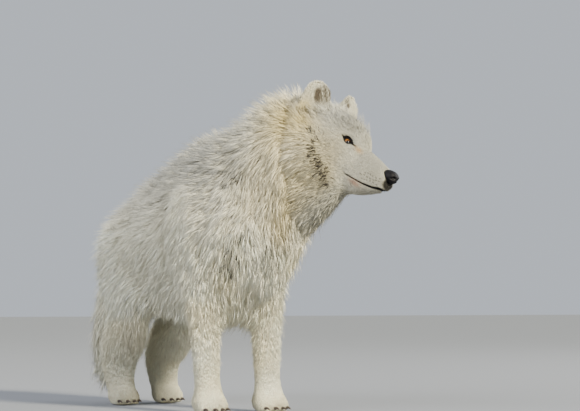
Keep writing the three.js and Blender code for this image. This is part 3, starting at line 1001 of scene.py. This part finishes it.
fringe = part["head"] * step(q[:, 2], 0.04, 0.07) * step(q[:, 1], 0.10, 0.14)
guard = ~under & ~shadow_stroke & (rng.uniform(size=count) < GUARD_HAIRS) & (height > 0.006)


def by_kind(undercoat, guard_hairs, shadow_tufts, rest):
    """A value for each tuft, by what kind it is."""
    return np.select([under, guard, shadow_stroke], [undercoat, guard_hairs, shadow_tufts], rest)


guard_rise = rng.uniform(1.05, 1.5, count) * (1 + 0.9 * fringe)
rise = rise * by_kind(0.82, guard_rise, 0.96, 0.82)
rise = np.minimum(rise, (1.95 + 1.0 * fringe) * height)
length = length * np.clip(lock_long * rng.normal(1, TUFT_SPREAD["length"], count), 0.6, 1.4)
length = length * by_kind(0.6, 1.2, 1, 1)
length = np.where(shadow_stroke, np.minimum(length, 0.046 - 0.024 * part["head"]), length)
length = np.maximum(length, rise * 1.15)
reach = np.sqrt(np.maximum(length ** 2 - rise ** 2, 1e-8))
width = width * rng.uniform(0.75, 1.2, count) * by_kind(1.8, 0.72, 2.2, 1)

tip = root + normal * rise[:, None] + way * reach[:, None]
lock_root = root[chosen][lock]
lock_tip = tip[chosen][lock]
closing = by_kind(0.06, 0.10, 0.16, 0.16) * long_coat
closing = (closing * (1 - 0.6 * shin))[:, None]
tip = tip + closing * (lock_tip + 0.5 * (root - lock_root) - tip)
tip[:, 2] = np.maximum(tip[:, 2], 0.002)


# ---- the tufts' mesh ----
def tuft_mesh(pick):
    """Closed tapering tufts, each from a point in the skin over a flat waist to its tip."""
    n = len(pick)
    base, up = root[pick], normal[pick]
    span = tip[pick] - base
    rising = (span * up).sum(1)[:, None] * up
    along = span - rising
    side = unit(np.cross(up, along) + 1e-9)
    roll = (rng.normal(0, 0.30, n) * (1 - 0.7 * shin[pick]))[:, None]
    side, over = (
        side * np.cos(roll) + up * np.sin(roll),
        up * np.cos(roll) - side * np.sin(roll),
    )
    waist = base + rising * (1 - (1 - BEND) ** 1.9) + along * BEND ** 1.3
    half = (width[pick] / 2)[:, None]
    corners = [
        base - up * 0.0006,
        waist - side * half,
        waist + side * half,
        waist + over * half * 0.4,
        base + span,
    ]
    faces = np.array([(0, 2, 1), (0, 3, 2), (0, 1, 3), (4, 1, 2), (4, 2, 3), (4, 3, 1)])
    tris = faces[None] + (np.arange(n) * len(corners))[:, None, None]
    return np.stack(corners, 1).reshape(-1, 3), tris.reshape(-1, 3)


colors = markings_and_shade(root + 0.45 * (tip - root) * part["head"][:, None], group, normal)
shade = 1 + 0.07 * rng.normal(size=count) + 0.03 * rng.normal(size=lock_count)[lock]
shade = np.where(under, shade * 0.95, shade)
# painted shadow: the tufts at the partings coloured nearly black
colors = blend(colors, SHADOW, 0.95 * shadow_stroke)
colors = np.clip(colors * shade[:, None], 0, 0.95)

AREAS = {
    "coat_head": ["head", "ear"],
    "coat_neck": ["neck"],
    "coat_trunk": ["trunk"],
    "coat_tail": ["tail"],
    "coat_forelegs": ["fore_upper", "fore_lower", "fore_paw"],
    "coat_hindlegs": ["hind_upper", "hind_lower", "hind_paw"],
}
main = group.argmax(1)
patch = PATCH * np.array([[0, -0.5], [-0.5, 0], [0.5, 0], [0, 0.1], [0, 0.5]])
for area_name, members in AREAS.items():
    mine = np.flatnonzero(np.isin(main, [GROUP_NAMES.index(m) for m in members]))
    from_front = q[mine, 1] if area_name == "coat_head" else p[mine, 1]
    mine = mine[np.argsort(from_front, kind="stable")]
    pieces = max(1, math.ceil(len(mine) / PER_PIECE))
    for i, pick in enumerate(np.array_split(mine, pieces)):
        verts, tris = tuft_mesh(pick)
        name = area_name if pieces == 1 else f"{area_name}_{i + 1}"
        mesh = make_mesh(name, verts, tris=tris, smooth=False)
        # painted shade: each tuft coloured darker towards its root
        shades = colors[pick][:, None] * TUFT_SHADE[None, :, None]
        set_colors(mesh, shades.reshape(-1, 3))
        spots = (root_uv[pick][:, None] + patch[None]).reshape(-1, 2)[tris.ravel()]
        layer = mesh.uv_layers.new(name="OFBake")
        layer.data.foreach_set("uv", np.clip(spots, 0, 1).astype(np.float32).ravel())
        make_object(name, mesh, tuft_material, "coat")


def ball_angles(bands, around):
    """Angles from a ball's pole to its rings, and round each ring."""
    polar = np.linspace(0, math.pi, bands + 1)[1:-1]
    return polar, np.arange(around) * 2 * math.pi / around


# ---- eyes ----
GAZE = np.array([0.70, -0.70, 0.15])  # the left eye's, in the head's frame
for side, eye in EYES.items():
    gaze = unit(GAZE * np.array([eye["sign"], 1, 1]))
    polar, turn = ball_angles(40, 48)
    side_axis = unit(np.cross(gaze, np.array([0, 0, 1.0])))
    top_axis = np.cross(side_axis, gaze)
    swell = EYE_RADIUS * (1 + CORNEA * bell(polar, 0.42))
    ring = np.cos(turn)[None, :, None] * side_axis + np.sin(turn)[None, :, None] * top_axis
    forward = (np.cos(polar) * swell)[:, None, None]
    outwards = (np.sin(polar) * swell)[:, None, None]
    poles = np.array([gaze * EYE_RADIUS * (1 + CORNEA), -gaze * EYE_RADIUS])
    points = np.vstack([(forward * gaze + outwards * ring).reshape(-1, 3), poles]) + eye["centre"]
    quads, tris = ring_faces(len(polar), len(turn))
    mesh = make_mesh(f"eye_{side}", from_head(points), quads[:, ::-1], tris[:, ::-1])
    layer = mesh.attributes.new("off_axis", "FLOAT", "POINT")
    angle = np.concatenate([np.repeat(polar, len(turn)), [0, math.pi]]) / (math.pi / 2) * 1.05
    layer.data.foreach_set("value", np.clip(angle, 0, 1).astype(np.float32))
    make_object(f"{side}_eyeball", mesh, eye_glass, "eye_glass", f"eye_{side}")

    # the dark rim of the lids
    upper = np.linspace(-1, 1, 25)
    t = np.concatenate([upper, upper[-2:0:-1]])
    up, down = lid_edge(t)
    high = np.where(np.arange(len(t)) < len(upper), up, -down)
    flat = eye["inward"] * (t * LID_HALF)[:, None] + eye["over"] * high[:, None]
    radius = EYE_RADIUS + RIM_OUT
    lift = np.sqrt(np.maximum(radius ** 2 - (flat ** 2).sum(1), 1e-8))
    loop = eye["centre"] + flat + eye["axis"] * lift[:, None]
    loop = np.vstack([loop, loop[:2]])
    rim = make_mesh(f"lid_rim_{side}", *tube(from_head(loop), LID_RIM, up=HEAD @ eye["axis"]))
    make_object(f"{side}_lid_rim", rim, leather, "nose_leather")

# ---- nose pad ----
polar, turn = ball_angles(44, 56)
ring = np.stack([
    np.cos(turn)[None] * np.sin(polar)[:, None],
    np.broadcast_to(-np.cos(polar)[:, None], (len(polar), len(turn))),
    np.sin(turn)[None] * np.sin(polar)[:, None],
], -1).reshape(-1, 3)
pad = np.vstack([ring, [[0, -1, 0], [0, 1, 0]]])
form = np.sign(pad) * np.abs(pad) ** 0.86 * NOSE_HALF  # a little boxier than a ball
form[:, 0] *= 1 - 0.22 * step(-pad[:, 2], 0.1, 0.9)
form[:, 2] += 0.001 * pad[:, 1]
place = form.copy()
for sign in (-1, 1):
    hole = np.hypot((place[:, 0] - sign * 0.0082) / 1.15, (place[:, 2] + 0.0012) / 0.95)
    slit = np.hypot((place[:, 0] - sign * 0.0128) / 1.9, (place[:, 2] + 0.0042) / 0.75)
    pit = 0.0062 * bell(hole, 0.0030) + 0.0036 * bell(slit, 0.0022)
    wing = 0.0012 * bell(np.hypot(place[:, 0] - sign * 0.0095, place[:, 2] - 0.0036), 0.0034)
    front = step(-pad[:, 1], -0.35, 0.2)
    form[:, 1] += (pit - wing) * front
below_middle = step(-pad[:, 1], 0, 0.5) * step(-place[:, 2], -0.004, 0.002)
form[:, 1] += 0.0013 * bell(place[:, 0], 0.0010) * below_middle  # the groove between the nostrils
mesh = make_mesh("nose_pad", from_head(form + NOSE_AT), *ring_faces(len(polar), len(turn)))
make_object("nose_pad", mesh, leather, "nose_leather", "nose")

# ---- claws ----
claw_nodes = sorted(name for name in NODES if "_claw_" in name)
parts = []
for name in claw_nodes:
    low, high = (np.array(v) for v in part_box(name))
    x = (low[0] + high[0]) / 2
    start = np.array([x, high[1] + 0.004, high[2] - 0.0035])
    point = np.array([x, low[1] + 0.0005, low[2] + 0.001])
    t = np.linspace(0, 1, 9)
    path = start + (point - start) * t[:, None]
    path[:, 2] += CLAW_ARCH * np.sin(math.pi * t)
    parts.append(tube(path, CLAW_RADIUS * (1 - t) ** 0.7 + CLAW_POINT, 10))
make_object("claws", make_mesh("claws", *join_parts(parts)), horn, "claw_horn", *claw_nodes)

# ---- stage ----
FLOOR_HALF = 30
corners = [(FLOOR_HALF * x, FLOOR_HALF * y, 0) for x, y in ((-1, -1), (1, -1), (1, 1), (-1, 1))]
floor = bpy.data.objects.new("floor", make_mesh("floor", corners, [(0, 1, 2, 3)]))
bpy.context.scene.collection.objects.link(floor)
paper, tree, shader = new_material("floor paper")
fill(tree, shader, {"Base Color": (0.20, 0.21, 0.23, 1), "Roughness": 0.9})
floor.data.materials.append(paper)

world = bpy.data.worlds.new("studio")
bpy.context.scene.world = world
world.use_nodes = True
sky = {"Color": (0.39, 0.42, 0.46, 1), "Strength": 1.45}
fill(world.node_tree, world.node_tree.nodes["Background"], sky)


def aimed_light(name, kind, way, energy, color):
    """A lamp that shines along a way."""
    data = bpy.data.lights.new(name, kind)
    data.energy = energy
    data.color = color
    light = bpy.data.objects.new(name, data)
    light.rotation_euler = Vector(way).to_track_quat("-Z", "Y").to_euler()
    bpy.context.scene.collection.objects.link(light)
    return light


# as the camera looks: to its right, away from it, and up
RIGHT = np.array([0.848, -0.53, 0])
AWAY = np.array([0.529, 0.847, 0])
UP = np.array([0, 0, 1])
LIT_POINT = 0.35 * UP
sun_way = 2.4 * AWAY - 2.0 * RIGHT - 1.55 * UP
key = aimed_light("key", "SUN", sun_way, 10.3, (1.0, 0.938, 0.75))
key.data.angle = math.radians(9)
for name, at, size, energy, color in (
    ("fill", -4.8 * RIGHT - 4.8 * AWAY + 3.4 * UP, 6.0, 740, (0.97, 0.97, 1.0)),
    ("far_fill", 5.0 * RIGHT + 2.2 * AWAY + 1.9 * UP, 5.0, 330, (1.0, 0.98, 0.95)),
):
    light = aimed_light(name, "AREA", LIT_POINT - at, energy, color)
    light.location = at
    light.data.size = size

# ---- camera ----
camera_data = bpy.data.cameras.new("camera")
camera = bpy.data.objects.new("camera", camera_data)
bpy.context.scene.collection.objects.link(camera)
camera_data.sensor_width = 36
camera_data.lens = 116.7
camera_data.clip_end = 50
camera.location = ORIGIN + np.array([-2.18776, -3.96188, 0.24853])
camera.rotation_euler = (math.radians(93), 0, math.radians(-32))
bpy.context.scene.camera = camera
